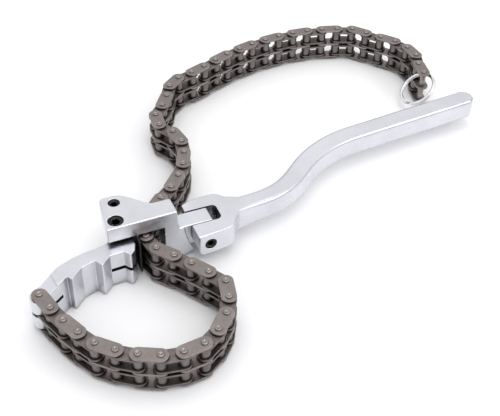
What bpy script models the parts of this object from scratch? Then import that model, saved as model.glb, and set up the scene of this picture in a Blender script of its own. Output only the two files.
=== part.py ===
"""Chain wrench for oil filters: a toothed jaw and a duplex roller chain on a head, with a pivoting handle.

The tool is modelled lying on its side on a floor at z = 0, so every chain pin stands upright.
+X runs along the tongue of the head towards the handle, +Y points from the filter loop to the
free end of the chain, and the origin is on the floor under the jaw's pivot screw.
Lengths named here are in millimetres and are turned into metres where an object is made.
"""

import math

import bmesh
import bpy
from mathutils import Matrix, Vector

MM = 0.001

# 3/8 inch duplex roller chain, lying on its edge
PITCH = 9.525
LINKS = 53
PIN_R = 1.64
PIN_LENGTH = 20.6
MID = 10.6
PIN_BOTTOM = MID - PIN_LENGTH / 2
BORE_R = 2.05
ROLLER_R = 2.65
PLATE_R = 3.55
OUTER_PLATE = 1.0
CENTRE_PLATE = 1.2
OUTER_HALF = 9.55
STRAND = 4.575
STRAND_HALF = 3.675
INNER_WIDTH_HALF = 2.575

# How the chain lies: heading in degrees of some of its links, the others lie evenly between them
FIRST_PIN = (-41.9, -23.4)
HEADINGS = (
    (0, -74), (3, -60), (4, -44), (6, -26), (8, 6), (9, 32), (12, 77), (13, 121), (16, 129),
    (17, 102), (19, 50), (21, 40), (23, 56), (25, 78), (27, 120), (29, 49), (31, 62), (33, 16),
    (35, 25), (38, 14), (41, 1), (45, -22), (46, -51), (48, -51), (50, -87), (51, -112), (52, -102),
)
ENGAGED = 18
OPEN_PIN = 9  # the loop is opened between the ninth and the tenth link

# Head: a plate over the chain, a block beside it and a tongue for the handle
PLATE_Z = (21.5, 29.3)
PLATE_OUTLINE = (
    (-5.7, -5.2), (28.5, -4.6), (28.2, 5.8), (19.0, 5.8), (15.6, 8.4), (11.0, 13.4),
    (7.2, 16.6), (4.2, 17.6), (-1.2, 17.6), (-3.3, 16.6),
)
BLOCK_X = (21.8, 28.0)
BLOCK_BOTTOM = 0.0
BAR_Y = (-4.3, 5.4)
FLARE_X = 36.2
TONGUE_Z = (6.3, 18.1)
TONGUE_END = 47.6
JAW_SCREW_R = 3.75
JAW_PIN_R = 2.9
STOP_SCREW = (2.8, 12.2)
STOP_SCREW_R = 2.9

# Jaw: a curved bar with three teeth, an eye for the head's screw and an eye for the chain
JAW_Z = (0.2, 19.4)
TAB_Z = (2.4, 18.8)
JAW_OUTLINE = (
    (4.9, -11.7), (2.3, -14.2), (-0.2, -10.9), (-6.7, -11.2), (-10.2, -14.6), (-11.5, -15.6),
    (-14.0, -11.7), (-20.7, -13.8), (-26.4, -19.4), (-28.0, -16.8), (-33.8, -21.0),
    (-37.4, -23.9), (-38.4, -26.4), (-40.3, -27.8), (-43.0, -27.9), (-45.4, -26.4),
    (-46.5, -24.0), (-46.2, -21.4), (-44.0, -19.2), (-40.0, -17.3), (-34.5, -12.2), (-30.9, -9.2),
    (-23.7, -6.2), (-17.5, -4.6), (-11.4, -3.8), (-6.0, -2.6), (-4.7, -0.4), (-4.2, 3.2),
    (-1.6, 5.4), (2.4, 5.6), (6.2, 9.3), (8.5, 7.4), (6.4, 2.4), (6.6, -1.0), (6.4, -8.0),
)
TAB_STEP = ((-34.3, -12.6), (-33.4, -20.1))
SLOT_HALF = 1.0
HEAD_SLOT = 9.8

# Handle: a fork on the tongue, then an S bend into a straight grip
HANDLE_Z = (5.9, 18.2)
PIVOT = (41.6, 12.1)
PIVOT_SCREW_R = 2.9
TINE_X = 35.3
FORK_SLOT = (-4.7, 5.9)
SLOT_END = 50.9
GRIP_START = (64.0, 2.4)
GRIP_HEADING = 5.0
GRIP_RUNS = ((12.0, 2.0), (24.0, 33.0), (8.0, 0.0), (42.0, -35.0), (80.0, 0.0))
NECK_WIDTH = 10.0
GRIP_WIDTH = 11.6
CHAMFER = 1.7

# Split ring through the last link: centre, lean of its plane and the way it leans
RING_CENTRE = (201.05, 64.5, 11.6)
RING_R = 10.4
RING_WIRE_R = 1.0
RING_LEAN = 38.2
RING_LEAN_TOWARDS = 173.9
RING_HOLD = (206.9, 72.1, 15.5)
SPACE = 0.3


def clear_scene():
    for old in list(bpy.data.objects):
        bpy.data.objects.remove(old, do_unlink=True)


def new_collection(name):
    group = bpy.data.collections.new(name)
    bpy.context.scene.collection.children.link(group)
    return group


def steel(name, colour, roughness, metallic):
    made = bpy.data.materials.new(name)
    made.use_nodes = True
    shader = made.node_tree.nodes["Principled BSDF"]
    shader.inputs["Base Color"].default_value = (*colour, 1.0)
    shader.inputs["Roughness"].default_value = roughness
    shader.inputs["Metallic"].default_value = metallic
    return made


def link_object(name, mesh, group):
    made = bpy.data.objects.new(name, mesh)
    group.objects.link(made)
    return made


def flat_shape(name, outline, thickness, group):
    """A solid of the given thickness on a flat outline, from z = 0 up."""
    curve = bpy.data.curves.new(name, "CURVE")
    curve.dimensions = "2D"
    curve.fill_mode = "BOTH"
    curve.extrude = thickness / 2 * MM
    spline = curve.splines.new("POLY")
    spline.points.add(len(outline) - 1)
    for point, (x, y) in zip(spline.points, outline):
        point.co = (x * MM, y * MM, 0.0, 1.0)
    spline.use_cyclic_u = True
    drawn = link_object(name + "_drawn", curve, group)
    bpy.context.view_layer.update()
    graph = bpy.context.evaluated_depsgraph_get()
    mesh = bpy.data.meshes.new_from_object(drawn.evaluated_get(graph))
    bpy.data.objects.remove(drawn, do_unlink=True)
    shape = bmesh.new()
    shape.from_mesh(mesh)
    bmesh.ops.remove_doubles(shape, verts=shape.verts, dist=0.000001)
    bmesh.ops.translate(shape, verts=shape.verts, vec=(0, 0, thickness / 2 * MM))
    bmesh.ops.recalc_face_normals(shape, faces=shape.faces)
    shape.to_mesh(mesh)
    shape.free()
    mesh.name = name
    return link_object(name, mesh, group)


def slab(name, outline, low, high, group):
    made = flat_shape(name, outline, high - low, group)
    made.location.z = low * MM
    return made


def side_shape(name, profile, y_low, y_high, group):
    """A solid whose profile is drawn in X and Z and which is as deep as y_low to y_high."""
    made = flat_shape(name, profile, y_high - y_low, group)
    made.rotation_euler.x = math.radians(90)
    made.location.y = y_high * MM
    return made


def rod(name, radius, start, end, sides, group, turn=0.0):
    """A round bar between two points."""
    start = Vector(start)
    end = Vector(end)
    bpy.ops.mesh.primitive_cylinder_add(
        vertices=sides, radius=radius * MM, depth=(end - start).length * MM,
        location=(start + end) / 2 * MM,
    )
    made = bpy.context.active_object
    made.name = name
    made.data.name = name
    spin = (end - start).to_track_quat("Z", "Y")
    made.rotation_mode = "QUATERNION"
    made.rotation_quaternion = spin @ Matrix.Rotation(math.radians(turn), 3, "Z").to_quaternion()
    for owner in list(made.users_collection):
        owner.objects.unlink(made)
    group.objects.link(made)
    return made


def box(name, low, high, group, turn=0.0):
    """A block between two corners, turned about the vertical through its centre."""
    low = Vector(low)
    high = Vector(high)
    bpy.ops.mesh.primitive_cube_add(size=1.0, location=(low + high) / 2 * MM)
    made = bpy.context.active_object
    made.name = name
    made.scale = (high - low) * MM
    bpy.ops.object.transform_apply(location=False, rotation=False, scale=True)
    made.rotation_euler.z = math.radians(turn)
    for owner in list(made.users_collection):
        owner.objects.unlink(made)
    group.objects.link(made)
    return made


def cut(body, cutter, operation="DIFFERENCE"):
    step = body.modifiers.new(operation.lower(), "BOOLEAN")
    step.operation = operation
    step.solver = "EXACT"
    step.object = cutter
    cutter.hide_render = True
    cutter.display_type = "WIRE"


def settle(body):
    """Replaces the body's mesh with the one its modifiers give, so it can be cut again."""
    bpy.context.view_layer.update()
    graph = bpy.context.evaluated_depsgraph_get()
    mesh = bpy.data.meshes.new_from_object(body.evaluated_get(graph))
    body.modifiers.clear()
    body.data = mesh
    return mesh


def set_material(body, material):
    body.data.materials.clear()
    body.data.materials.append(material)


def stadium(length, radius, steps=3):
    """Outline of a straight-sided chain plate with its first pin at 0, 0."""
    points = []
    for centre, first in ((length, -90), (0.0, 90)):
        for k in range(steps + 1):
            angle = math.radians(first + 180 * k / steps)
            points.append((centre + radius * math.cos(angle), radius * math.sin(angle)))
    return points


def arc(centre, radius, first, last, steps):
    points = []
    for k in range(steps + 1):
        angle = math.radians(first + (last - first) * k / steps)
        points.append((centre[0] + radius * math.cos(angle), centre[1] + radius * math.sin(angle)))
    return points


def chain_pins():
    """Positions of all the pins, and the heading of each link."""
    headings = []
    for k in range(LINKS):
        for (a, at_a), (b, at_b) in zip(HEADINGS, HEADINGS[1:]):
            if a <= k <= b:
                headings.append(at_a + (at_b - at_a) * (k - a) / (b - a))
                break
    pins = [Vector(FIRST_PIN)]
    for heading in headings:
        angle = math.radians(heading)
        pins.append(pins[-1] + PITCH * Vector((math.cos(angle), math.sin(angle))))
    return pins, headings


def outer_link_mesh(cutters, material):
    """Two outer plates and a centre plate on the two pins that are riveted into them."""
    outline = stadium(PITCH, PLATE_R)
    low = MID - OUTER_HALF
    body = slab("outer_link", outline, low, low + OUTER_PLATE, cutters)
    high = MID + OUTER_HALF
    for number, bottom, top in (
        (1, high - OUTER_PLATE, high),
        (2, MID - CENTRE_PLATE / 2, MID + CENTRE_PLATE / 2),
    ):
        cut(body, slab(f"outer_link_plate_{number}", outline, bottom, top, cutters), "UNION")
    for number, x in ((1, 0.0), (2, PITCH)):
        pin = rod(
            f"outer_link_pin_{number}", PIN_R, (x, 0, PIN_BOTTOM), (x, 0, PIN_BOTTOM + PIN_LENGTH), 6, cutters
        )
        cut(body, pin, "UNION")
    body.location.z = low * MM
    mesh = settle(body)
    mesh.transform(Matrix.Translation((0, 0, low * MM)))
    set_material(body, material)
    bpy.data.objects.remove(body, do_unlink=True)
    mesh.name = "outer_link"
    return mesh


def inner_link_mesh(cutters, material):
    """Two rows of inner plates with their bushes and rollers, bored for the pins.

    The two rows are one piece here: two webs beside the rollers join them at mid link."""
    outline = stadium(PITCH, PLATE_R)
    bottom = MID - STRAND - STRAND_HALF
    body = slab("inner_link", outline, bottom, bottom + STRAND_HALF - INNER_WIDTH_HALF, cutters)
    number = 0
    for row in (MID - STRAND, MID + STRAND):
        for low, high in (
            (row - STRAND_HALF, row - INNER_WIDTH_HALF),
            (row + INNER_WIDTH_HALF, row + STRAND_HALF),
        ):
            number += 1
            if number > 1:
                plate = slab(f"inner_link_plate_{number}", outline, low, high, cutters)
                cut(body, plate, "UNION")
        for x in (0.0, PITCH):
            roller = rod(
                f"inner_link_roller_{number}_{x:.0f}", ROLLER_R,
                (x, 0, row - INNER_WIDTH_HALF - 0.6), (x, 0, row + INNER_WIDTH_HALF + 0.6),
                6, cutters,
            )
            cut(body, roller, "UNION")
    for side in (-1, 1):
        web = box(
            f"inner_link_web_{side + 1}",
            (PITCH / 2 - 0.7, side * 2.95 - 0.45, MID - 1.5),
            (PITCH / 2 + 0.7, side * 2.95 + 0.45, MID + 1.5), cutters,
        )
        cut(body, web, "UNION")
    for x in (0.0, PITCH):
        bore = rod(f"inner_link_bore_{x:.0f}", BORE_R, (x, 0, -3), (x, 0, 26), 6, cutters)
        cut(body, bore)
    mesh = settle(body)
    mesh.transform(Matrix.Translation((0, 0, bottom * MM)))
    set_material(body, material)
    bpy.data.objects.remove(body, do_unlink=True)
    mesh.name = "inner_link"
    return mesh


def make_chain(group, cutters):
    """Each link stands on the pin it turns about: links one to nine follow the jaw, the others the head."""
    outer = outer_link_mesh(cutters, steel("outer_link_steel", (0.17, 0.145, 0.13), 0.42, 1.0))
    inner = inner_link_mesh(cutters, steel("inner_link_steel", (0.12, 0.105, 0.10), 0.45, 1.0))
    pins, headings = chain_pins()
    for k in range(LINKS):
        kind, mesh = (("outer", outer), ("inner", inner))[k % 2]
        made = link_object(f"link_{k + 1:02d}_{kind}", mesh, group)
        if OPEN_PIN <= k < ENGAGED:
            base = pins[k + 1]
            turn = headings[k] + 180
        else:
            base = pins[k]
            turn = headings[k]
        made.location = (base.x * MM, base.y * MM, 0.0)
        made.rotation_euler.z = math.radians(turn)


def make_head(group, cutters):
    """The plate, the block and the tongue are one forging."""
    body = slab("head", PLATE_OUTLINE, PLATE_Z[0], PLATE_Z[1], group)
    fillet = 3.4
    centre = (BLOCK_X[1] + fillet, TONGUE_Z[1] + fillet)
    profile = [(BLOCK_X[0], BLOCK_BOTTOM), (FLARE_X - 4.4, BLOCK_BOTTOM), (FLARE_X, BLOCK_BOTTOM + 2.4)]
    profile += [(FLARE_X - 2.0, TONGUE_Z[0])]
    profile += [(TONGUE_END - 2.2, TONGUE_Z[0]), (TONGUE_END, TONGUE_Z[0] + 2.6)]
    profile += [(TONGUE_END, TONGUE_Z[1] - 2.6), (TONGUE_END - 1.6, TONGUE_Z[1])]
    profile += arc(centre, fillet, 270, 180, 4)
    profile += [(BLOCK_X[1], PLATE_Z[1] - 1.0), (BLOCK_X[0], PLATE_Z[1] - 1.0)]
    bar = side_shape("head_bar", profile, BAR_Y[0], BAR_Y[1], cutters)
    cut(body, bar, "UNION")
    corner = box("head_corner", (20.3, 3.9, -1), (23.3, 6.9, PLATE_Z[0]), cutters, 45)
    cut(body, corner)
    screw = rod(
        "head_jaw_bore", JAW_SCREW_R + SPACE, (0, 0, PLATE_Z[0] - 1), (0, 0, PLATE_Z[1] + 1), 16, cutters
    )
    cut(body, screw)
    x, y = STOP_SCREW
    stop = rod(
        "head_stop_bore", STOP_SCREW_R + SPACE, (x, y, PLATE_Z[0] - 1), (x, y, PLATE_Z[1] + 1), 12, cutters
    )
    cut(body, stop)
    x, z = PIVOT
    pivot = rod("head_pivot_bore", PIVOT_SCREW_R + SPACE, (x, -20, z), (x, 20, z), 16, cutters)
    cut(body, pivot)
    set_material(body, steel("head_zinc", (0.70, 0.70, 0.71), 0.28, 1.0))
    return body


def make_screws(group, cutters):
    """Grub screws with hexagon sockets: the jaw's pivot, the jaw's stop and the handle's pivot."""
    black = steel("screw_black", (0.03, 0.03, 0.032), 0.4, 1.0)
    top = PLATE_Z[1] - 0.4
    jaw_screw = rod("jaw_pivot_screw", JAW_SCREW_R, (0, 0, PLATE_Z[0] + 0.2), (0, 0, top), 16, group)
    shank = rod("jaw_screw_shank", JAW_PIN_R, (0, 0, 0.4), (0, 0, PLATE_Z[0] + 2), 12, cutters)
    cut(jaw_screw, shank, "UNION")
    cut(jaw_screw, rod("jaw_screw_socket", 2.3, (0, 0, top - 4), (0, 0, top + 1), 6, cutters))
    x, y = STOP_SCREW
    stop = rod("stop_screw", STOP_SCREW_R, (x, y, 15.0), (x, y, top), 12, group)
    cut(stop, rod("stop_screw_socket", 1.7, (x, y, top - 3), (x, y, top + 1), 6, cutters))
    x, z = PIVOT
    pivot = rod("handle_pivot_screw", PIVOT_SCREW_R, (x, 11.4, z), (x, -13.4, z), 12, group)
    cut(pivot, rod("pivot_screw_socket", 1.7, (x, -10.4, z), (x, -15.0, z), 6, cutters))
    for screw in (jaw_screw, stop, pivot):
        set_material(screw, black)


def make_jaw(group, cutters):
    """Toothed bar; its lowered end fits between the plates of the first chain link."""
    body = slab("jaw", JAW_OUTLINE, JAW_Z[0], JAW_Z[1], group)
    (ax, ay), (bx, by) = TAB_STEP
    heading = math.degrees(math.atan2(by - ay, bx - ax)) + 90
    along = Vector((math.cos(math.radians(heading)), math.sin(math.radians(heading))))
    middle = Vector(((ax + bx) / 2, (ay + by) / 2)) - along * 15
    for name, low, high in (
        ("jaw_step_top", TAB_Z[1], JAW_Z[1] + 2),
        ("jaw_step_bottom", JAW_Z[0] - 2, TAB_Z[0]),
    ):
        step = box(
            name, (middle.x - 15, middle.y - 22, low), (middle.x + 15, middle.y + 22, high),
            cutters, heading,
        )
        cut(body, step)
    tab_slot = box("jaw_tab_slot", (-50, -34, MID - SLOT_HALF), (-31.2, -8, MID + SLOT_HALF), cutters)
    cut(body, tab_slot)
    head_slot = box(
        "jaw_head_slot", (-6.6, -20, HEAD_SLOT - SLOT_HALF), (12, 15, HEAD_SLOT + SLOT_HALF), cutters
    )
    cut(body, head_slot)
    x, y = FIRST_PIN
    cut(body, rod("jaw_chain_bore", BORE_R, (x, y, -3), (x, y, 28), 8, cutters))
    cut(body, rod("jaw_pivot_bore", JAW_PIN_R + SPACE, (0, 0, -3), (0, 0, 28), 12, cutters))
    shape = body.data
    shape.transform(Matrix.Translation((0, 0, JAW_Z[0] * MM)))
    body.location = (0, 0, 0)
    set_material(body, steel("jaw_zinc", (0.66, 0.66, 0.68), 0.30, 1.0))
    return body


def grip_line():
    """Centre line of the handle beyond the fork, as points with their headings."""
    x, y = GRIP_START
    heading = GRIP_HEADING
    points = [(x, y, heading)]
    for length, turn in GRIP_RUNS:
        steps = max(1, round(abs(turn) / 6.0))
        for _ in range(steps):
            heading += turn / steps / 2
            x += length / steps * math.cos(math.radians(heading))
            y += length / steps * math.sin(math.radians(heading))
            heading += turn / steps / 2
            points.append((x, y, heading))
    return points


def handle_outline():
    """Fork, waist, S bend and rounded tip, anticlockwise from the lower left corner of the fork."""
    line = grip_line()
    total = len(line) - 1
    right = []
    left = []
    for k, (x, y, heading) in enumerate(line[:-1]):
        half = NECK_WIDTH / 2 + (GRIP_WIDTH - NECK_WIDTH) / 2 * min(1.0, k / (total - 1))
        angle = math.radians(heading)
        right.append((x + half * math.sin(angle), y - half * math.cos(angle)))
        left.append((x - half * math.sin(angle), y + half * math.cos(angle)))
    x, y, heading = line[-1]
    angle = math.radians(heading)
    ahead = Vector((math.cos(angle), math.sin(angle)))
    across = Vector((-ahead.y, ahead.x))
    tip = []
    for forward, side in ((-3.4, -1.0), (0.0, -0.42), (0.0, 0.42), (-3.4, 1.0)):
        spot = Vector((x, y)) + ahead * forward + across * (side * GRIP_WIDTH / 2)
        tip.append((spot.x, spot.y))
    front = [(TINE_X, -14.2), (44.0, -13.4), (51.0, -12.6), (54.3, -11.2), (56.3, -8.4), (58.4, -4.9), (61.0, -2.9)]
    back = [(60.8, 8.4), (57.4, 9.8), (54.6, 12.9), (52.0, 13.9), (46.0, 13.9), (38.8, 12.9), (TINE_X, 11.2)]
    return front + right + tip + list(reversed(left)) + back


def inset(outline, amounts):
    """The outline moved inwards by an amount of its own at each corner."""
    moved = []
    count = len(outline)
    for k, amount in enumerate(amounts):
        here = Vector(outline[k])
        before = (here - Vector(outline[k - 1])).normalized()
        after = (Vector(outline[(k + 1) % count]) - here).normalized()
        inwards = Vector((-before.y, before.x)) + Vector((-after.y, after.x))
        inwards.normalize()
        slant = max(0.5, inwards.dot(Vector((-after.y, after.x))))
        spot = here + inwards * (amount / slant)
        moved.append((spot.x, spot.y))
    return moved


def chamfered_slab(name, outline, amounts, low, high, group):
    """A solid on an anticlockwise outline whose upper and lower edges are chamfered."""
    small = inset(outline, amounts)
    shape = bmesh.new()
    layers = []
    for points, level, side in ((small, low, 0), (outline, low, 1), (outline, high, -1), (small, high, 0)):
        layers.append([
            shape.verts.new((x * MM, y * MM, (level + side * amount) * MM))
            for (x, y), amount in zip(points, amounts)
        ])
    count = len(outline)
    for under, over in zip(layers, layers[1:]):
        for k in range(count):
            after = (k + 1) % count
            shape.faces.new((under[k], under[after], over[after], over[k]))
    shape.faces.new(list(reversed(layers[0])))
    shape.faces.new(layers[-1])
    bmesh.ops.recalc_face_normals(shape, faces=shape.faces)
    mesh = bpy.data.meshes.new(name)
    shape.to_mesh(mesh)
    shape.free()
    return link_object(name, mesh, group)


def make_handle(group, cutters):
    """Forged handle with chamfered edges, forked over the tongue and turning on the pivot screw."""
    outline = handle_outline()
    amounts = []
    for x, y in outline:
        share = min(1.0, max(0.0, (x - 58.0) / 8.0))
        amounts.append(0.6 + (CHAMFER - 0.6) * share)
    body = chamfered_slab("handle", outline, amounts, HANDLE_Z[0], HANDLE_Z[1], group)
    slot = box(
        "handle_slot", (20, FORK_SLOT[0], 0), (SLOT_END, FORK_SLOT[1], 30), cutters
    )
    cut(body, slot)
    low = HANDLE_Z[0]
    radius = 5.0
    profile = [(TINE_X - 2, low - 2), (TINE_X + radius, low - 2)]
    profile += arc((TINE_X + radius, low + radius), radius, 270, 180, 5)
    profile += [(TINE_X - 2, low + radius)]
    cut(body, side_shape("handle_end_round", profile, -25, 25, cutters))
    x, z = PIVOT
    bore = rod("handle_pivot_bore", PIVOT_SCREW_R + SPACE, (x, -20, z), (x, 11.7, z), 12, cutters)
    cut(body, bore)
    body.data.transform(Matrix.Translation((-x * MM, 0, -z * MM)))
    body.location = (x * MM, 0, z * MM)
    set_material(body, steel("handle_satin", (0.68, 0.68, 0.70), 0.26, 1.0))
    return body


def make_ring(group):
    """Split ring: its wire passes between the last two pins, where the ring's origin is."""
    bpy.ops.mesh.primitive_torus_add(
        major_radius=RING_R * MM, minor_radius=RING_WIRE_R * MM, major_segments=32, minor_segments=6,
    )
    made = bpy.context.active_object
    made.name = "split_ring"
    made.data.name = "split_ring"
    lean = Matrix.Rotation(math.radians(RING_LEAN), 4, "Y")
    towards = Matrix.Rotation(math.radians(RING_LEAN_TOWARDS), 4, "Z")
    offset = Vector(RING_CENTRE) - Vector(RING_HOLD)
    made.data.transform(Matrix.Translation(offset * MM) @ towards @ lean)
    made.location = Vector(RING_HOLD) * MM
    for owner in list(made.users_collection):
        owner.objects.unlink(made)
    group.objects.link(made)
    set_material(made, steel("ring_steel", (0.78, 0.78, 0.79), 0.22, 1.0))
    made.data.shade_smooth()
    return made


def main():
    clear_scene()
    group = new_collection("chain_wrench")
    cutters = new_collection("cutters")
    make_chain(group, cutters)
    make_head(group, cutters)
    make_screws(group, cutters)
    make_jaw(group, cutters)
    make_handle(group, cutters)
    make_ring(group)
    for helper in cutters.objects:
        helper.hide_render = True
        helper.display_type = "WIRE"


main()
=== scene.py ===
"""Looks for a chain wrench for oil filters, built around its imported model.

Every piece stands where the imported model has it: +Z is up, the floor is at z = 0 and +X runs along
the head's tongue towards the handle. Lengths named here are in millimetres.
"""
import math

import bmesh
import bpy
from mathutils import Matrix, Vector


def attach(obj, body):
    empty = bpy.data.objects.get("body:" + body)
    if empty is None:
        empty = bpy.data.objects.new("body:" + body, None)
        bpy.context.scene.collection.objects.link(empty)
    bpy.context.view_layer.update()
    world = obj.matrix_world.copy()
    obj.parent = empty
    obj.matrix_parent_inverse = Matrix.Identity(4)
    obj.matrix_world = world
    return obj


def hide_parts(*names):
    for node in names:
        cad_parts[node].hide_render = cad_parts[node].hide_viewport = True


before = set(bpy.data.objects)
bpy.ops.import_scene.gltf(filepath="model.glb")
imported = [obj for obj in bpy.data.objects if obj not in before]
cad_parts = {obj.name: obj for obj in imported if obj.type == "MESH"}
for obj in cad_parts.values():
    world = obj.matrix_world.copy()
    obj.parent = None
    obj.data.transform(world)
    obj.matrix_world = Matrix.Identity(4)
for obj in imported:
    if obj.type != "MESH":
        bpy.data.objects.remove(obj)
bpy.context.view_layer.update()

MM = 0.001

# Chain
PITCH = 9.525
LINKS = 53
PIN_R = 1.64
PIN_Z = (0.3, 20.9)
MID = 10.6
ROLLER_R = 2.65
BUSH_R = 2.15
PLATE_R = 3.55
OUTER_PLATE = 1.0
CENTRE_PLATE = 1.2
OUTER_HALF = 9.55
STRAND = 4.575
STRAND_HALF = 3.675
INNER_WIDTH_HALF = 2.575
PLATE_EDGE = 0.2
FIRST_PIN = (-41.9, -23.4)
HEADINGS = (
    (0, -74), (3, -60), (4, -44), (6, -26), (8, 6), (9, 32), (12, 77), (13, 121), (16, 129),
    (17, 102), (19, 50), (21, 40), (23, 56), (25, 78), (27, 120), (29, 49), (31, 62), (33, 16),
    (35, 25), (38, 14), (41, 1), (45, -22), (46, -51), (48, -51), (50, -87), (51, -112), (52, -102),
)
ENGAGED = 18

# Head
PLATE_Z = (21.5, 29.3)
BAR_Y = (-4.62, 5.5)
TONGUE_Y = (-4.1, 5.3)
BLOCK_X = (21.8, 28.3)
FLARE_X = 36.2
TONGUE_Z = (6.3, 18.1)
TONGUE_END = 47.6
HEAD_CORNER = (21.8, 5.4)
HEAD_CORNER_REACH = 2.1
JAW_SCREW_R = 3.62
JAW_PIN_R = 2.9
STOP_SCREW = (2.8, 12.2)
STOP_SCREW_R = 2.72
SPACE = 0.12

# Black strip between the jaw's hub and the chain: a painted shadow filling a gap that is only shade
SHADOW_STRIP_X = (7.6, 8.5)
SHADOW_STRIP_Y = (-10.0, 2.5)
SHADOW_STRIP_BOTTOM = 2.4

# Jaw
JAW_Z = (0.2, 19.4)
TAB_Z = (2.4, 18.8)
TAB_STEP = ((-34.3, -12.6), (-33.4, -20.1))
SLOT_HALF = 1.0
HEAD_SLOT = 9.8

# Handle
HANDLE_Z = (5.9, 18.2)
PIVOT = (41.6, 12.1)
PIVOT_SCREW_R = 2.9
TINE_X = 35.3
FORK_SLOT = (-4.7, 5.9)
SLOT_END = 50.9
GRIP_START = (64.0, 2.4)
GRIP_HEADING = 5.0
GRIP_RUNS = ((12.0, 2.0), (24.0, 33.0), (8.0, 0.0), (42.0, -35.0), (80.0, 0.0))
NECK_WIDTH = 10.0
GRIP_WIDTH = 11.6
CHAMFER = 1.7

# Split ring
RING_CENTRE = (201.05, 64.5, 11.6)
RING_R = 10.4
RING_LEAN = 38.2
RING_LEAN_TOWARDS = 173.9


def quarter_round(steps, size=1.0):
    """Profile of a rounded edge as (inwards, down) shares of the edge radius."""
    angles = [math.radians(90 / steps * k) for k in range(steps + 1)]
    return tuple((size * (1 - math.sin(a)), size * (1 - math.cos(a))) for a in angles)


ROUND = quarter_round(5)
SMALL_ROUND = quarter_round(3)
WIDE_ROUND = quarter_round(6, 1.4)


# ---------------------------------------------------------------- shapes


def area_of(points):
    total = 0.0
    for k, (x, y, *_) in enumerate(points):
        total += points[k - 1][0] * y - x * points[k - 1][1]
    return total / 2


def filleted(corners, degrees=9.0):
    """Corners (x, y, corner radius, edge radius) made into points (x, y, edge radius), anticlockwise."""
    if area_of(corners) < 0:
        corners = list(reversed(corners))
    points = []
    count = len(corners)
    for k, (x, y, radius, edge) in enumerate(corners):
        here = Vector((x, y))
        back = Vector(corners[k - 1][:2]) - here
        ahead = Vector(corners[(k + 1) % count][:2]) - here
        angle = back.angle(ahead)
        if radius < 0.02 or angle > math.radians(178):
            points.append((x, y, edge))
            continue
        reach = min(radius / math.tan(angle / 2), 0.49 * min(back.length, ahead.length))
        radius = reach * math.tan(angle / 2)
        back.normalize()
        ahead.normalize()
        centre = here + (back + ahead).normalized() * (radius / math.sin(angle / 2))
        first = here + back * reach - centre
        last = here + ahead * reach - centre
        start = math.atan2(first.y, first.x)
        sweep = math.atan2(last.y, last.x) - start
        sweep = (sweep + math.pi) % (2 * math.pi) - math.pi
        steps = max(2, round(abs(math.degrees(sweep)) / degrees))
        for s in range(steps + 1):
            turn = start + sweep * s / steps
            points.append((centre.x + radius * math.cos(turn), centre.y + radius * math.sin(turn), edge))
    return points


def inset(points, share):
    """The points moved inwards by a share of each one's own edge radius."""
    moved = []
    count = len(points)
    for k, (x, y, edge) in enumerate(points):
        here = Vector((x, y))
        before = (here - Vector(points[k - 1][:2])).normalized()
        after = (Vector(points[(k + 1) % count][:2]) - here).normalized()
        inwards = Vector((-before.y - after.y, before.x + after.x)).normalized()
        slant = max(0.5, inwards.dot(Vector((-after.y, after.x))))
        spot = here + inwards * (edge * share / slant)
        moved.append((spot.x, spot.y))
    return moved


def add_prism(shape, points, low, high, profile=ROUND, lower_edge=1.0):
    """Adds an upright solid on an anticlockwise outline, with worked upper and lower edges."""
    layers = []
    for across, drop in profile:
        spots = inset(points, across * lower_edge)
        layers.append([(x, y, low + drop * p[2] * lower_edge) for (x, y), p in zip(spots, points)])
    for across, drop in reversed(profile):
        spots = inset(points, across)
        layers.append([(x, y, high - drop * p[2]) for (x, y), p in zip(spots, points)])
    rings = [[shape.verts.new(Vector(spot) * MM) for spot in layer] for layer in layers]
    count = len(points)
    for under, over in zip(rings, rings[1:]):
        for k in range(count):
            after = (k + 1) % count
            shape.faces.new((under[k], under[after], over[after], over[k]))
    shape.faces.new(list(reversed(rings[0])))
    shape.faces.new(rings[-1])


def add_turned(shape, profile, centre=(0.0, 0.0), sides=24):
    """Adds a solid turned about an upright axis from (radius, height) points that end on the axis."""
    rings = []
    for radius, height in profile:
        if radius < 1e-6:
            rings.append([shape.verts.new(Vector((centre[0], centre[1], height)) * MM)])
            continue
        ring = []
        for k in range(sides):
            turn = 2 * math.pi * k / sides
            spot = (centre[0] + radius * math.cos(turn), centre[1] + radius * math.sin(turn), height)
            ring.append(shape.verts.new(Vector(spot) * MM))
        rings.append(ring)
    for under, over in zip(rings, rings[1:]):
        for k in range(sides):
            after = (k + 1) % sides
            if len(under) == 1:
                shape.faces.new((under[0], over[after], over[k]))
            elif len(over) == 1:
                shape.faces.new((under[k], under[after], over[0]))
            else:
                shape.faces.new((under[k], under[after], over[after], over[k]))


def mesh_from(shape, name):
    bmesh.ops.remove_doubles(shape, verts=shape.verts, dist=1e-7)
    bmesh.ops.recalc_face_normals(shape, faces=shape.faces)
    mesh = bpy.data.meshes.new(name)
    shape.to_mesh(mesh)
    shape.free()
    return mesh


def add_object(name, mesh):
    made = bpy.data.objects.new(name, mesh)
    bpy.context.scene.collection.objects.link(made)
    return made


def rectangle(x, y, radius=0.0, edge=0.01):
    """The four corners between two x and two y values."""
    return [(x[0], y[0], radius, edge), (x[1], y[0], radius, edge),
            (x[1], y[1], radius, edge), (x[0], y[1], radius, edge)]


def prism(name, corners, low, high, profile=ROUND, lower_edge=1.0, degrees=9.0):
    shape = bmesh.new()
    add_prism(shape, filleted(corners, degrees), low, high, profile, lower_edge)
    return add_object(name, mesh_from(shape, name))


def side_prism(name, corners, y_low, y_high, profile=ROUND):
    """A solid whose outline is drawn in X and Z, from y_low to y_high."""
    made = prism(name, corners, -y_high, -y_low, profile)
    made.data.transform(Matrix.Rotation(math.radians(90), 4, "X"))
    return made


def turned(name, profile, centre=(0.0, 0.0), sides=32):
    shape = bmesh.new()
    add_turned(shape, profile, centre, sides)
    return add_object(name, mesh_from(shape, name))


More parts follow.
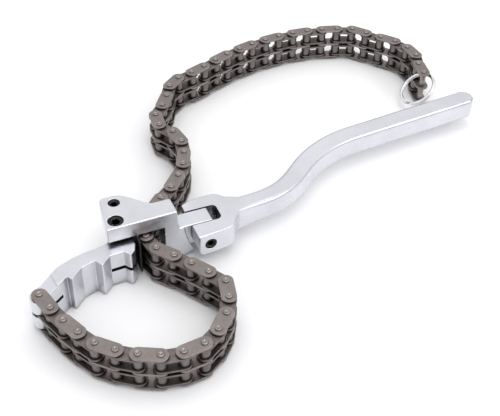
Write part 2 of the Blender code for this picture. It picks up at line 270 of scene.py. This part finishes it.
def combine(body, cutter, operation="DIFFERENCE"):
    """Cuts or joins with another object, which is used up."""
    step = body.modifiers.new(operation.lower(), "BOOLEAN")
    step.operation = operation
    step.solver = "EXACT"
    step.object = cutter
    bpy.context.view_layer.update()
    graph = bpy.context.evaluated_depsgraph_get()
    mesh = bpy.data.meshes.new_from_object(body.evaluated_get(graph))
    body.modifiers.clear()
    old = body.data
    body.data = mesh
    bpy.data.meshes.remove(old)
    bpy.data.objects.remove(cutter, do_unlink=True)


def smooth(piece, degrees=34.0):
    """Smooth shading with crisp corners, and flat faces that stay flat."""
    piece.data.shade_smooth()
    piece.data.set_sharp_from_angle(angle=math.radians(degrees))
    step = piece.modifiers.new("flat_faces", "WEIGHTED_NORMAL")
    step.keep_sharp = True
    step.weight = 50


def finished(piece, body, material, slot, *nodes):
    piece.data.materials.clear()
    piece.data.materials.append(material)
    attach(piece, body)
    if nodes:
        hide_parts(*nodes)
    return piece


# ---------------------------------------------------------------- materials


class Nodes:
    """Short names for building a node material."""

    def __init__(self, name):
        self.material = bpy.data.materials.new(name)
        self.material.use_nodes = True
        self.tree = self.material.node_tree
        self.shader = self.tree.nodes["Principled BSDF"]

    def add(self, kind, **inputs):
        node = self.tree.nodes.new(kind)
        for key, value in inputs.items():
            node.inputs[key.replace("_", " ")].default_value = value
        return node

    def link(self, out, into):
        self.tree.links.new(out, into)

    def noise(self, place, scale, detail=3.0, roughness=0.55, stretch=None):
        """A noise over the object, stretched along its axes where asked."""
        spot = place
        if stretch:
            mapping = self.add("ShaderNodeMapping", Scale=stretch)
            self.link(place, mapping.inputs["Vector"])
            spot = mapping.outputs["Vector"]
        node = self.add("ShaderNodeTexNoise", Scale=scale, Detail=detail, Roughness=roughness)
        self.link(spot, node.inputs["Vector"])
        return node.outputs["Fac"]

    def spread(self, value, low, high, to_low, to_high):
        node = self.add("ShaderNodeMapRange")
        for key, number in (("From Min", low), ("From Max", high), ("To Min", to_low), ("To Max", to_high)):
            node.inputs[key].default_value = number
        self.link(value, node.inputs["Value"])
        return node.outputs["Result"]

    def blend(self, share, first, second, kind="MIX"):
        node = self.tree.nodes.new("ShaderNodeMix")
        node.data_type = "RGBA"
        node.blend_type = kind
        for socket, value in ((node.inputs[0], share), (node.inputs[6], first), (node.inputs[7], second)):
            if isinstance(value, bpy.types.NodeSocket):
                self.link(value, socket)
            elif isinstance(value, (int, float)):
                socket.default_value = value
            else:
                socket.default_value = (*value, 1.0)
        return node.outputs[2]

    def edges(self, radius):
        """1 along edges, which are painted paler partly as wear and partly as a painted highlight, and 0 on
        flat faces.
        """
        bevel = self.tree.nodes.new("ShaderNodeBevel")
        bevel.samples = 4
        bevel.inputs["Radius"].default_value = radius * MM
        geometry = self.tree.nodes.new("ShaderNodeNewGeometry")
        dot = self.tree.nodes.new("ShaderNodeVectorMath")
        dot.operation = "DOT_PRODUCT"
        self.link(bevel.outputs["Normal"], dot.inputs[0])
        self.link(geometry.outputs["Normal"], dot.inputs[1])
        return self.spread(dot.outputs["Value"], 0.995, 0.90, 0.0, 1.0)

    def painted_shade(self, distance):
        """0 deep inside gaps and corners, which are painted darker as shade, and 1 on open faces."""
        cover = self.tree.nodes.new("ShaderNodeAmbientOcclusion")
        cover.samples = 6
        cover.inputs["Distance"].default_value = distance * MM
        return self.spread(cover.outputs["AO"], 0.12, 0.72, 0.0, 1.0)


def metal(name, pale, deep, rough, grain, bump, edge=None, edge_radius=0.5, patch=90.0, stretch=None,
          tint=0.0, shade_reach=0.0, shade_colour=(0.05, 0.05, 0.055)):
    """Metal with patches of tone, fine grain in its gloss and relief, paler edges that are partly wear and
    partly painted highlight, and painted shade darkening gaps and corners where asked.
    """
    made = Nodes(name)
    place = made.add("ShaderNodeTexCoord").outputs["Object"]
    patches = made.noise(place, patch, 5.0, 0.6)
    fine = made.noise(place, grain, 4.0, 0.65, stretch)
    blot = made.noise(place, patch * 4.5, 4.0, 0.7)
    colour = made.blend(made.spread(patches, 0.34, 0.66, 0.0, 1.0), pale, deep)
    shade = made.spread(fine, 0.3, 0.7, 0.0, 0.45)
    colour = made.blend(shade, colour, deep)
    if tint:
        info = made.tree.nodes.new("ShaderNodeObjectInfo")
        share = made.spread(info.outputs["Random"], 0.0, 1.0, 0.0, tint)
        colour = made.blend(share, colour, deep)
    gloss = made.spread(blot, 0.3, 0.7, rough[0], rough[1])
    # Paler edges: partly wear, partly a painted highlight along the rims.
    if edge:
        worn_and_lit = made.edges(edge_radius)
        spots = made.spread(blot, 0.35, 0.6, 0.35, 1.0)
        both = made.add("ShaderNodeMath")
        both.operation = "MULTIPLY"
        made.link(worn_and_lit, both.inputs[0])
        made.link(spots, both.inputs[1])
        colour = made.blend(both.outputs["Value"], colour, edge)
    # Painted shade: the colour is pulled towards the shade colour in gaps and corners.
    if shade_reach:
        colour = made.blend(made.painted_shade(shade_reach), shade_colour, colour)
    made.link(colour, made.shader.inputs["Base Color"])
    made.link(gloss, made.shader.inputs["Roughness"])
    made.shader.inputs["Metallic"].default_value = 1.0
    relief = made.add("ShaderNodeBump", Strength=1.0, Distance=bump * MM)
    made.link(fine, relief.inputs["Height"])
    made.link(relief.outputs["Normal"], made.shader.inputs["Normal"])
    return made.material


# shade_reach and shade_colour set the painted shade in gaps and corners; edge colours are partly wear and
# partly painted highlight.
ZINC = metal(
    "satin_zinc", (0.76, 0.765, 0.80), (0.65, 0.655, 0.69), (0.26, 0.38), 2600.0, 0.018,
    edge=(0.93, 0.93, 0.94), edge_radius=0.6, patch=70.0, shade_reach=6.0, shade_colour=(0.07, 0.07, 0.085),
)
HANDLE_STEEL = metal(
    "satin_handle", (0.78, 0.785, 0.82), (0.67, 0.675, 0.71), (0.24, 0.36), 2200.0, 0.014,
    edge=(0.90, 0.90, 0.92), edge_radius=0.45, patch=40.0, shade_reach=6.0, shade_colour=(0.07, 0.07, 0.085),
)
PLATE_STEEL = metal(
    "oiled_plate_steel", (0.33, 0.295, 0.28), (0.23, 0.20, 0.19), (0.34, 0.52), 3000.0, 0.03,
    edge=(0.56, 0.52, 0.49), edge_radius=0.25, patch=260.0, tint=0.3, shade_reach=7.0, shade_colour=(0.035, 0.025, 0.023),
)
# The inner plates are a darker copy of the plate steel: painted shade for where they sit down inside the
# chain.
SHADED_INNER_STEEL = metal(
    "oiled_inner_steel_painted_shade", (0.25, 0.22, 0.21), (0.15, 0.13, 0.125), (0.36, 0.55), 3000.0, 0.03,
    edge=(0.42, 0.38, 0.36), edge_radius=0.25, patch=260.0, tint=0.3, shade_reach=7.0, shade_colour=(0.03, 0.021, 0.02),
)
ROLLER_STEEL = metal(
    "roller_steel", (0.27, 0.25, 0.24), (0.16, 0.145, 0.14), (0.28, 0.44), 2400.0, 0.02,
    patch=300.0, stretch=(1.0, 1.0, 0.15), tint=0.3, shade_reach=5.0, shade_colour=(0.04, 0.03, 0.03),
)
RIVET_STEEL = metal(
    "rivet_steel", (0.40, 0.37, 0.345), (0.24, 0.215, 0.20), (0.24, 0.40), 2600.0, 0.03,
    edge=(0.72, 0.69, 0.66), edge_radius=0.3, patch=500.0, tint=0.3,
)
BLACK_OXIDE = metal(
    "black_oxide", (0.035, 0.035, 0.037), (0.018, 0.018, 0.02), (0.32, 0.5), 2400.0, 0.02,
    edge=(0.22, 0.22, 0.23), edge_radius=0.3, patch=400.0,
)
RING_METAL = metal(
    "bright_ring_wire", (0.90, 0.90, 0.91), (0.74, 0.74, 0.76), (0.12, 0.24), 2600.0, 0.01,
    patch=200.0,
)


# ---------------------------------------------------------------- chain


def chain_pins():
    """Pin positions, one pitch apart, and each link's heading in degrees."""
    headings = []
    for k in range(LINKS):
        for (a, at_a), (b, at_b) in zip(HEADINGS, HEADINGS[1:]):
            if a <= k <= b:
                headings.append(at_a + (at_b - at_a) * (k - a) / (b - a))
                break
    pins = [Vector(FIRST_PIN)]
    for heading in headings:
        angle = math.radians(heading)
        pins.append(pins[-1] + PITCH * Vector((math.cos(angle), math.sin(angle))))
    return pins, headings


def stadium(radius, steps=14):
    """Outline of a plate around two pins, with the edge radius at each point."""
    points = []
    for centre, first in ((PITCH, -90), (0.0, 90)):
        for k in range(steps + 1):
            angle = math.radians(first + 180 * k / steps)
            points.append((centre + radius * math.cos(angle), radius * math.sin(angle), PLATE_EDGE))
    return points


def plates_mesh(name, levels):
    """One mesh with a plate between each pair of heights."""
    shape = bmesh.new()
    outline = stadium(PLATE_R)
    for low, high in levels:
        add_prism(shape, outline, low, high, SMALL_ROUND)
    return mesh_from(shape, name)


def pin_profile():
    """A pin with riveted, slightly dimpled heads."""
    head = (
        (0.0, -0.42), (0.38, -0.36), (0.66, -0.14), (0.92, -0.03), (1.2, 0.0), (1.44, -0.08), (1.6, -0.28),
        (PIN_R, -0.55),
    )
    low, high = PIN_Z
    return [(r, low - z) for r, z in head] + [(r, high + z) for r, z in reversed(head)]


def roller_profile(row):
    """A roller on its bush, in the row at the given height."""
    half = (
        (0.0, 2.7), (BUSH_R, 2.7), (BUSH_R, 2.42), (2.4, 2.42), (2.58, 2.36), (ROLLER_R, 2.2),
        (ROLLER_R, 1.0),
    )
    return [(r, row - z) for r, z in half] + [(r, row + z) for r, z in reversed(half)]


def make_chain():
    """Plates on every link, with rivets on the outer links and rollers on the inner ones."""
    top = MID + OUTER_HALF
    low = MID - OUTER_HALF
    outer = plates_mesh("outer_plates", (
        (low, low + OUTER_PLATE),
        (MID - CENTRE_PLATE / 2, MID + CENTRE_PLATE / 2),
        (top - OUTER_PLATE, top),
    ))
    rows = (MID - STRAND, MID + STRAND)
    inner = plates_mesh("inner_plates", [
        level for row in rows for level in (
            (row - STRAND_HALF, row - INNER_WIDTH_HALF), (row + INNER_WIDTH_HALF, row + STRAND_HALF),
        )
    ])
    shape = bmesh.new()
    for x in (0.0, PITCH):
        add_turned(shape, pin_profile(), (x, 0.0), 20)
    rivets = mesh_from(shape, "rivets")
    shape = bmesh.new()
    for x in (0.0, PITCH):
        for row in rows:
            add_turned(shape, roller_profile(row), (x, 0.0), 28)
    rollers = mesh_from(shape, "rollers")
    for mesh, material in (
        (outer, PLATE_STEEL), (inner, SHADED_INNER_STEEL), (rivets, RIVET_STEEL), (rollers, ROLLER_STEEL),
    ):
        mesh.materials.append(material)
        mesh.shade_smooth()
        mesh.set_sharp_from_angle(angle=math.radians(50))
    pins, headings = chain_pins()
    for k in range(LINKS):
        body = "head" if k == ENGAGED else f"link_{k + 1:02d}"
        spot = Matrix.Translation((pins[k].x * MM, pins[k].y * MM, 0.0))
        spot = spot @ Matrix.Rotation(math.radians(headings[k]), 4, "Z")
        kind, plates, other, other_mesh = (
            ("outer", outer, "rivets", rivets), ("inner", inner, "rollers", rollers),
        )[k % 2]
        node = f"link_{k + 1:02d}_{kind}"
        for name, mesh, nodes in ((f"{kind}_plates", plates, (node,)), (other, other_mesh, ())):
            piece = add_object(f"{name}_{k + 1:02d}", mesh)
            piece.matrix_world = spot
            step = piece.modifiers.new("flat_faces", "WEIGHTED_NORMAL")
            step.keep_sharp = True
            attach(piece, body)
            if nodes:
                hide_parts(*nodes)


# ---------------------------------------------------------------- head and screws


def bore(radius, bottom, top, lip=0.14):
    """Cutter for a hole from the bottom level up through a face at the top level, with a bevelled mouth."""
    return [
        (0.0, bottom), (radius, bottom), (radius, top - lip), (radius + lip * 0.35, top - lip * 0.6),
        (radius + lip, top + 0.02), (radius + lip, top + 2.0), (0.0, top + 2.0),
    ]


def onto_pivot(piece):
    """Lays an upright piece level, along the handle's pivot."""
    turn = Matrix.Rotation(math.radians(90), 4, "X")
    piece.data.transform(Matrix.Translation((PIVOT[0] * MM, 0, PIVOT[1] * MM)) @ turn)
    return piece


def make_head():
    """The plate over the chain, the block beside it and the tongue, as one casting."""
    plate = (
        (-5.7, -5.2, 0.7, 0.65), (28.5, -4.6, 0.8, 0.75), (28.2, 5.8, 0.8, 0.6), (19.0, 5.8, 4.0, 0.6),
        (15.6, 8.4, 5.0, 0.6), (11.0, 13.4, 6.0, 0.6), (7.2, 16.6, 5.0, 0.6), (4.2, 17.6, 4.0, 0.6),
        (-1.2, 17.6, 2.2, 0.6), (-3.3, 16.6, 2.4, 0.6),
    )
    body = prism("head_casting", plate, PLATE_Z[0], PLATE_Z[1], lower_edge=0.35)
    right, top = BLOCK_X[1], TONGUE_Z[1]
    block = (
        (BLOCK_X[0], 0.0, 0.5, 0.45), (FLARE_X - 4.4, 0.0, 1.6, 0.45), (FLARE_X, 2.4, 1.2, 0.45),
        (FLARE_X - 2.0, TONGUE_Z[0], 0.8, 0.4), (FLARE_X - 3.4, 12.0, 4.0, 0.6),
        (FLARE_X - 4.6, top, 1.0, 0.5), (right, top, 2.4, 0.45),
        (right, PLATE_Z[1] - 1.0, 0.0, 0.1), (BLOCK_X[0], PLATE_Z[1] - 1.0, 0.0, 0.1),
    )
    combine(body, side_prism("head_block", block, BAR_Y[0], BAR_Y[1]), "UNION")
    tongue = (
        (right - 2.0, TONGUE_Z[0], 0.8, 0.4), (TONGUE_END - 2.2, TONGUE_Z[0], 2.0, 0.4),
        (TONGUE_END, TONGUE_Z[0] + 2.6, 2.4, 0.4), (TONGUE_END, top - 2.6, 2.4, 0.4),
        (TONGUE_END - 1.6, top + 0.06, 1.4, 0.45), (right + 0.06, top + 0.06, 3.4, 0.45),
        (right + 0.06, top + 4.0, 0.0, 0.1), (right - 2.0, top + 4.0, 0.0, 0.1),
    )
    combine(body, side_prism("head_tongue", tongue, TONGUE_Y[0], TONGUE_Y[1]), "UNION")
    x, y = HEAD_CORNER
    reach = HEAD_CORNER_REACH
    corner = [(x + reach * dx, y + reach * dy, 0.5, 0.1) for dx, dy in ((-1, 0), (0, -1), (1, 0), (0, 1))]
    combine(body, prism("head_corner", corner, -1.0, PLATE_Z[0]))
    low, high = PLATE_Z[0] - 2, PLATE_Z[1]
    combine(body, turned("jaw_bore", bore(JAW_SCREW_R + SPACE, low, high), sides=48))
    combine(body, turned("stop_bore", bore(STOP_SCREW_R + SPACE, low, high), STOP_SCREW, 40))
    pivot = turned("pivot_bore", bore(PIVOT_SCREW_R + SPACE, -20.0, 20.0), sides=40)
    combine(body, onto_pivot(pivot))
    smooth(body)
    finished(body, "head", ZINC, "zinc", "head")


def make_shadow_strip():
    """A thin black strip below the plate, between the jaw's hub and the chain in the window, as painted
    shadow where there is only shade.
    """
    shadow_strip = prism("chain_guide", rectangle(SHADOW_STRIP_X, SHADOW_STRIP_Y, 0.2, 0.15), SHADOW_STRIP_BOTTOM, PLATE_Z[0] + 0.1)
    smooth(shadow_strip)
    finished(shadow_strip, "head", BLACK_OXIDE, "black_screw")


def screw(name, radius, low, high, socket, depth, shank=None):
    """A screw with a hexagon socket in its upper end and a (radius, bottom) shank where given, upright."""
    edge = 0.35
    profile = [(0.0, low)]
    if shank:
        thin, bottom = shank
        profile = [(0.0, bottom), (thin - edge, bottom), (thin, bottom + edge), (thin, low)]
    profile += [(radius - edge, low), (radius, low + edge)]
    profile += [(radius, high - edge), (radius - 0.1, high - 0.12), (radius - edge, high), (0.0, high)]
    body = turned(name, profile, sides=40)
    hexagon = [(0.0, high - depth - 0.9), (socket, high - depth), (socket, high + 1.0), (0.0, high + 1.0)]
    combine(body, turned(name + "_socket", hexagon, sides=6))
    lead = [
        (0.0, high - 0.45), (socket - 0.1, high - 0.45), (socket + 0.4, high + 0.05),
        (socket + 0.4, high + 1), (0.0, high + 1),
    ]
    combine(body, turned(name + "_lead", lead, sides=40))
    return body


def make_screws():
    """The jaw's pivot screw, the small screw beside it and the handle's pivot screw."""
    top = PLATE_Z[1] - 0.4
    jaw = screw("jaw_screw", JAW_SCREW_R, PLATE_Z[0] + 0.2, top, 2.3, 4.0, (JAW_PIN_R, 0.4))
    stop = screw("jaw_stop_screw", STOP_SCREW_R, 15.0, top, 1.8, 3.2)
    stop.data.transform(Matrix.Translation((STOP_SCREW[0] * MM, STOP_SCREW[1] * MM, 0)))
    pivot = onto_pivot(screw("handle_screw", PIVOT_SCREW_R, -11.4, 13.4, 1.8, 3.2))
    for piece, body, node in (
        (jaw, "head", "jaw_pivot_screw"),
        (stop, "head", "stop_screw"),
        (pivot, "handle", "handle_pivot_screw"),
    ):
        smooth(piece)
        finished(piece, body, BLACK_OXIDE, "black_screw", node)


# ---------------------------------------------------------------- jaw


def make_jaw():
    """The toothed casting with its stepped chain end and the two slots at half height."""
    outline = (
        (4.9, -11.7, 0.8, 0.35), (2.3, -14.2, 0.9, 0.35), (-0.2, -10.9, 0.9, 0.35), (-6.7, -11.2, 0.7, 0.35),
        (-10.2, -14.6, 0.5, 0.32), (-11.5, -15.6, 0.5, 0.32), (-14.0, -11.7, 0.7, 0.32),
        (-20.7, -13.8, 0.8, 0.32), (-26.4, -19.4, 0.5, 0.32), (-28.0, -16.8, 0.6, 0.32),
        (-33.8, -21.0, 1.0, 0.35), (-37.4, -23.9, 1.0, 0.35), (-38.4, -26.4, 1.4, 0.35),
        (-40.3, -27.8, 2.0, 0.35), (-43.0, -27.9, 2.4, 0.35), (-45.4, -26.4, 2.4, 0.35),
        (-46.5, -24.0, 2.4, 0.35), (-46.2, -21.4, 2.4, 0.4), (-44.0, -19.2, 2.6, 0.5),
        (-40.0, -17.3, 5.0, 0.6), (-34.5, -12.2, 10.0, 0.7), (-30.9, -9.2, 10.0, 0.7),
        (-23.7, -6.2, 10.0, 0.7), (-17.5, -4.6, 10.0, 0.7), (-11.4, -3.8, 10.0, 0.7),
        (-6.0, -2.6, 1.6, 0.6), (-4.7, -0.4, 2.0, 0.5), (-4.2, 3.2, 1.6, 0.5), (-1.6, 5.4, 1.6, 0.5),
        (2.4, 5.6, 1.2, 0.5), (6.2, 9.3, 1.2, 0.5), (8.5, 7.4, 1.2, 0.5), (6.4, 2.4, 2.0, 0.5),
        (6.6, -1.0, 3.0, 0.5), (6.4, -8.0, 2.0, 0.4),
    )
    body = prism("jaw_casting", outline, JAW_Z[0], JAW_Z[1])
    (ax, ay), (bx, by) = TAB_STEP
    along = Vector((bx - ax, by - ay)).normalized()
    out = Vector((along.y, -along.x))
    near = Vector((ax, ay)) - along * 15
    far = Vector((bx, by)) + along * 15
    corners = [near, near + out * 30, far + out * 30, far]
    square = [(p.x, p.y, 0.0, 0.01) for p in corners]
    for name, low, high in (("step_top", TAB_Z[1], JAW_Z[1] + 3), ("step_bottom", JAW_Z[0] - 3, TAB_Z[0])):
        combine(body, prism(name, square, low, high, SMALL_ROUND))
    for name, low, high, level in (("tab_slot", -50.0, -31.2, MID), ("head_slot", -6.6, 14.0, HEAD_SLOT)):
        corners = rectangle((low, high), (-36.0, 20.0))
        combine(body, prism(name, corners, level - SLOT_HALF, level + SLOT_HALF, SMALL_ROUND))
    combine(body, turned("jaw_pivot_bore", bore(JAW_PIN_R + SPACE, -3.0, JAW_Z[1]), sides=40))
    combine(body, turned("jaw_chain_bore", bore(PIN_R + 0.3, -3.0, TAB_Z[1], 0.2), FIRST_PIN, 32))
    smooth(body)
    finished(body, "jaw", ZINC, "zinc", "jaw")


# ---------------------------------------------------------------- handle


def grip_line():
    """Centre line of the neck and grip as (x, y, heading in degrees)."""
    x, y = GRIP_START
    heading = GRIP_HEADING
    points = [(x, y, heading)]
    for length, turn in GRIP_RUNS:
        steps = max(round(length / 2.5), round(abs(turn) / 1.5))
        for _ in range(steps):
            heading += turn / steps / 2
            x += length / steps * math.cos(math.radians(heading))
            y += length / steps * math.sin(math.radians(heading))
            heading += turn / steps / 2
            points.append((x, y, heading))
    return points


def handle_points():
    """Outline of the handle with the width of its chamfer at each point."""
    line = grip_line()
    total = len(line) - 1
    right = []
    left = []
    for k, (x, y, heading) in enumerate(line[:-3]):
        share = min(1.0, k / (total * 0.55))
        half = NECK_WIDTH / 2 + (GRIP_WIDTH - NECK_WIDTH) / 2 * share * share * (3 - 2 * share)
        angle = math.radians(heading)
        chamfer = 0.6 + (CHAMFER - 0.6) * min(1.0, max(0.0, (x - 60.0) / 12.0))
        right.append((x + half * math.sin(angle), y - half * math.cos(angle), chamfer))
        left.append((x - half * math.sin(angle), y + half * math.cos(angle), chamfer))
    x, y, heading = line[-1]
    angle = math.radians(heading)
    ahead = Vector((math.cos(angle), math.sin(angle)))
    across = Vector((-ahead.y, ahead.x))
    tip = []
    for forward, side in ((-4.0, -1.0), (-0.5, -0.54), (0.15, 0.0), (-0.5, 0.54), (-4.0, 1.0)):
        spot = Vector((x, y)) + ahead * forward + across * (side * GRIP_WIDTH / 2)
        tip.append((spot.x, spot.y, 2.8, 1.5))
    front = [
        (TINE_X, -14.2, 1.0, 0.6), (44.0, -13.4, 9.0, 0.6), (51.0, -12.6, 5.0, 0.6), (54.3, -11.2, 4.0, 0.6),
        (56.3, -8.4, 5.0, 0.6), (58.4, -4.9, 5.0, 0.6), (61.0, -2.9, 4.0, 0.6),
    ]
    back = [
        (60.8, 8.4, 4.0, 0.6), (57.4, 9.8, 4.0, 0.6), (54.6, 12.9, 3.0, 0.6), (52.0, 13.9, 3.0, 0.6),
        (46.0, 13.9, 8.0, 0.6), (38.8, 12.9, 6.0, 0.6), (TINE_X, 11.2, 1.0, 0.6),
    ]
    corners = front + [(x, y, 0.0, c) for x, y, c in right] + tip
    corners += [(x, y, 0.0, c) for x, y, c in reversed(left)] + back
    return filleted(corners, 7.0)


def make_handle():
    """The forging with its fork slot, the round under its tines and the pivot hole."""
    shape = bmesh.new()
    add_prism(shape, handle_points(), HANDLE_Z[0], HANDLE_Z[1], WIDE_ROUND)
    body = add_object("handle_forging", mesh_from(shape, "handle_forging"))
    slot = [
        (20.0, FORK_SLOT[0], 0.0, 0.01), (SLOT_END, FORK_SLOT[0], 2.4, 0.01),
        (SLOT_END, FORK_SLOT[1], 2.4, 0.01), (20.0, FORK_SLOT[1], 0.0, 0.01),
    ]
    combine(body, prism("fork_slot", slot, 0.0, 30.0, SMALL_ROUND))
    low = HANDLE_Z[0]
    radius = 5.0
    profile = [(TINE_X - 2, low - 2), (TINE_X + radius, low - 2)]
    for k in range(17):
        angle = math.radians(270 - 90 * k / 16)
        profile.append((TINE_X + radius + radius * math.cos(angle), low + radius + radius * math.sin(angle)))
    profile.append((TINE_X - 2, low + radius))
    corners = [(x, z, 0.0, 0.01) for x, z in profile]
    combine(body, side_prism("tine_round", corners, -25.0, 25.0, SMALL_ROUND))
    pivot = turned("pivot_hole", bore(PIVOT_SCREW_R + SPACE, -11.6, 13.75, 0.2), sides=40)
    combine(body, onto_pivot(pivot))
    smooth(body)
    finished(body, "handle", HANDLE_STEEL, "satin_steel", "handle")


# ---------------------------------------------------------------- split ring


def make_ring():
    """Flat spring wire that runs twice round and steps from one turn to the next."""
    section = []
    for angle in range(0, 360, 30):
        a = math.radians(angle)
        wide = math.copysign(abs(math.cos(a)) ** 0.6, math.cos(a)) * 0.85
        high = math.copysign(abs(math.sin(a)) ** 0.6, math.sin(a)) * 0.44
        section.append((wide, high))
    shape = bmesh.new()
    step = 0.45
    last = 4 * math.pi - step
    steps = 132
    rings = []
    for k in range(steps + 1):
        turn = last * k / steps
        rise = min(1.0, max(0.0, (turn - (2 * math.pi - step)) / step))
        level = -0.49 + 0.98 * rise * rise * (3 - 2 * rise)
        ring = []
        for wide, high in section:
            radius = RING_R + wide
            ring.append(shape.verts.new(
                Vector((radius * math.cos(turn), radius * math.sin(turn), level + high)) * MM
            ))
        rings.append(ring)
    count = len(section)
    for one, other in zip(rings, rings[1:]):
        for k in range(count):
            after = (k + 1) % count
            shape.faces.new((one[k], other[k], other[after], one[after]))
    shape.faces.new(rings[0])
    shape.faces.new(list(reversed(rings[-1])))
    piece = add_object("ring_wire", mesh_from(shape, "ring_wire"))
    lean = Matrix.Rotation(math.radians(RING_LEAN), 4, "Y")
    towards = Matrix.Rotation(math.radians(RING_LEAN_TOWARDS), 4, "Z")
    start = Matrix.Rotation(math.radians(40), 4, "Z")
    piece.data.transform(Matrix.Translation(Vector(RING_CENTRE) * MM) @ towards @ lean @ start)
    piece.data.shade_smooth()
    piece.data.set_sharp_from_angle(angle=math.radians(60))
    finished(piece, "ring", RING_METAL, "ring_wire", "split_ring")


# ---------------------------------------------------------------- studio


def make_studio():
    """A pale floor, a sky that is darker at the horizon, and three soft lights."""
    bpy.ops.mesh.primitive_plane_add(size=8.0, location=(0.08, 0.03, -0.0004))
    floor = bpy.context.active_object
    floor.name = "floor"
    made = Nodes("pale_floor")
    place = made.add("ShaderNodeTexCoord").outputs["Object"]
    tone = made.spread(made.noise(place, 3.0), 0.3, 0.7, 0.0, 1.0)
    made.link(made.blend(tone, (0.95, 0.95, 0.95), (0.93, 0.93, 0.935)), made.shader.inputs["Base Color"])
    made.shader.inputs["Roughness"].default_value = 0.9
    made.shader.inputs["Specular IOR Level"].default_value = 0.1
    floor.data.materials.append(made.material)

    world = bpy.data.worlds.new("studio")
    bpy.context.scene.world = world
    world.use_nodes = True
    tree = world.node_tree
    back = tree.nodes["Background"]
    coordinates = tree.nodes.new("ShaderNodeTexCoord")
    split = tree.nodes.new("ShaderNodeSeparateXYZ")
    ramp = tree.nodes.new("ShaderNodeValToRGB")
    tree.links.new(coordinates.outputs["Generated"], split.inputs["Vector"])
    tree.links.new(split.outputs["Z"], ramp.inputs["Fac"])
    tree.links.new(ramp.outputs["Color"], back.inputs["Color"])
    marks = ramp.color_ramp.elements
    marks[0].position = 0.0
    marks[0].color = (0.36, 0.375, 0.45, 1.0)
    marks[1].position = 0.55
    marks[1].color = (0.98, 0.98, 0.99, 1.0)
    overhead = marks.new(1.0)
    overhead.color = (0.72, 0.72, 0.73, 1.0)
    back.inputs["Strength"].default_value = 1.1

    for name, spot, target, size, power in (
        ("key", (0.10, -0.62, 1.02), (0.03, 0.0, 0.0), 0.45, 1.7),
        ("right", (0.74, -0.55, 0.70), (0.15, 0.04, 0.0), 0.35, 1.2),
        ("top", (0.12, 0.10, 1.25), (0.08, 0.05, 0.0), 0.8, 3.4),
    ):
        light = bpy.data.lights.new(name, "AREA")
        light.shape = "SQUARE"
        light.size = size
        light.energy = power
        lamp = bpy.data.objects.new(name, light)
        bpy.context.scene.collection.objects.link(lamp)
        lamp.location = spot
        lamp.rotation_euler = (Vector(target) - Vector(spot)).to_track_quat("-Z", "Y").to_euler()


def make_camera():
    """A view from above the filter loop's side, with the handle running away to the right."""
    camera = bpy.data.cameras.new("camera")
    camera.lens = 65.5
    camera.sensor_width = 36.0
    camera.clip_start = 0.01
    camera.clip_end = 20.0
    viewer = bpy.data.objects.new("camera", camera)
    bpy.context.scene.collection.objects.link(viewer)
    turn = Matrix.Rotation(math.radians(-24.0), 4, "Z") @ Matrix.Rotation(math.radians(48.35), 4, "X")
    turn = turn @ Matrix.Rotation(math.radians(1.67), 4, "Z")
    viewer.matrix_world = Matrix.Translation(Vector((-68.4, -304.5, 311.6)) * MM) @ turn
    bpy.context.scene.camera = viewer


make_chain()
make_head()
make_shadow_strip()
make_screws()
make_jaw()
make_handle()
make_ring()
make_studio()
make_camera()
bpy.context.scene.view_settings.view_transform = "Standard"
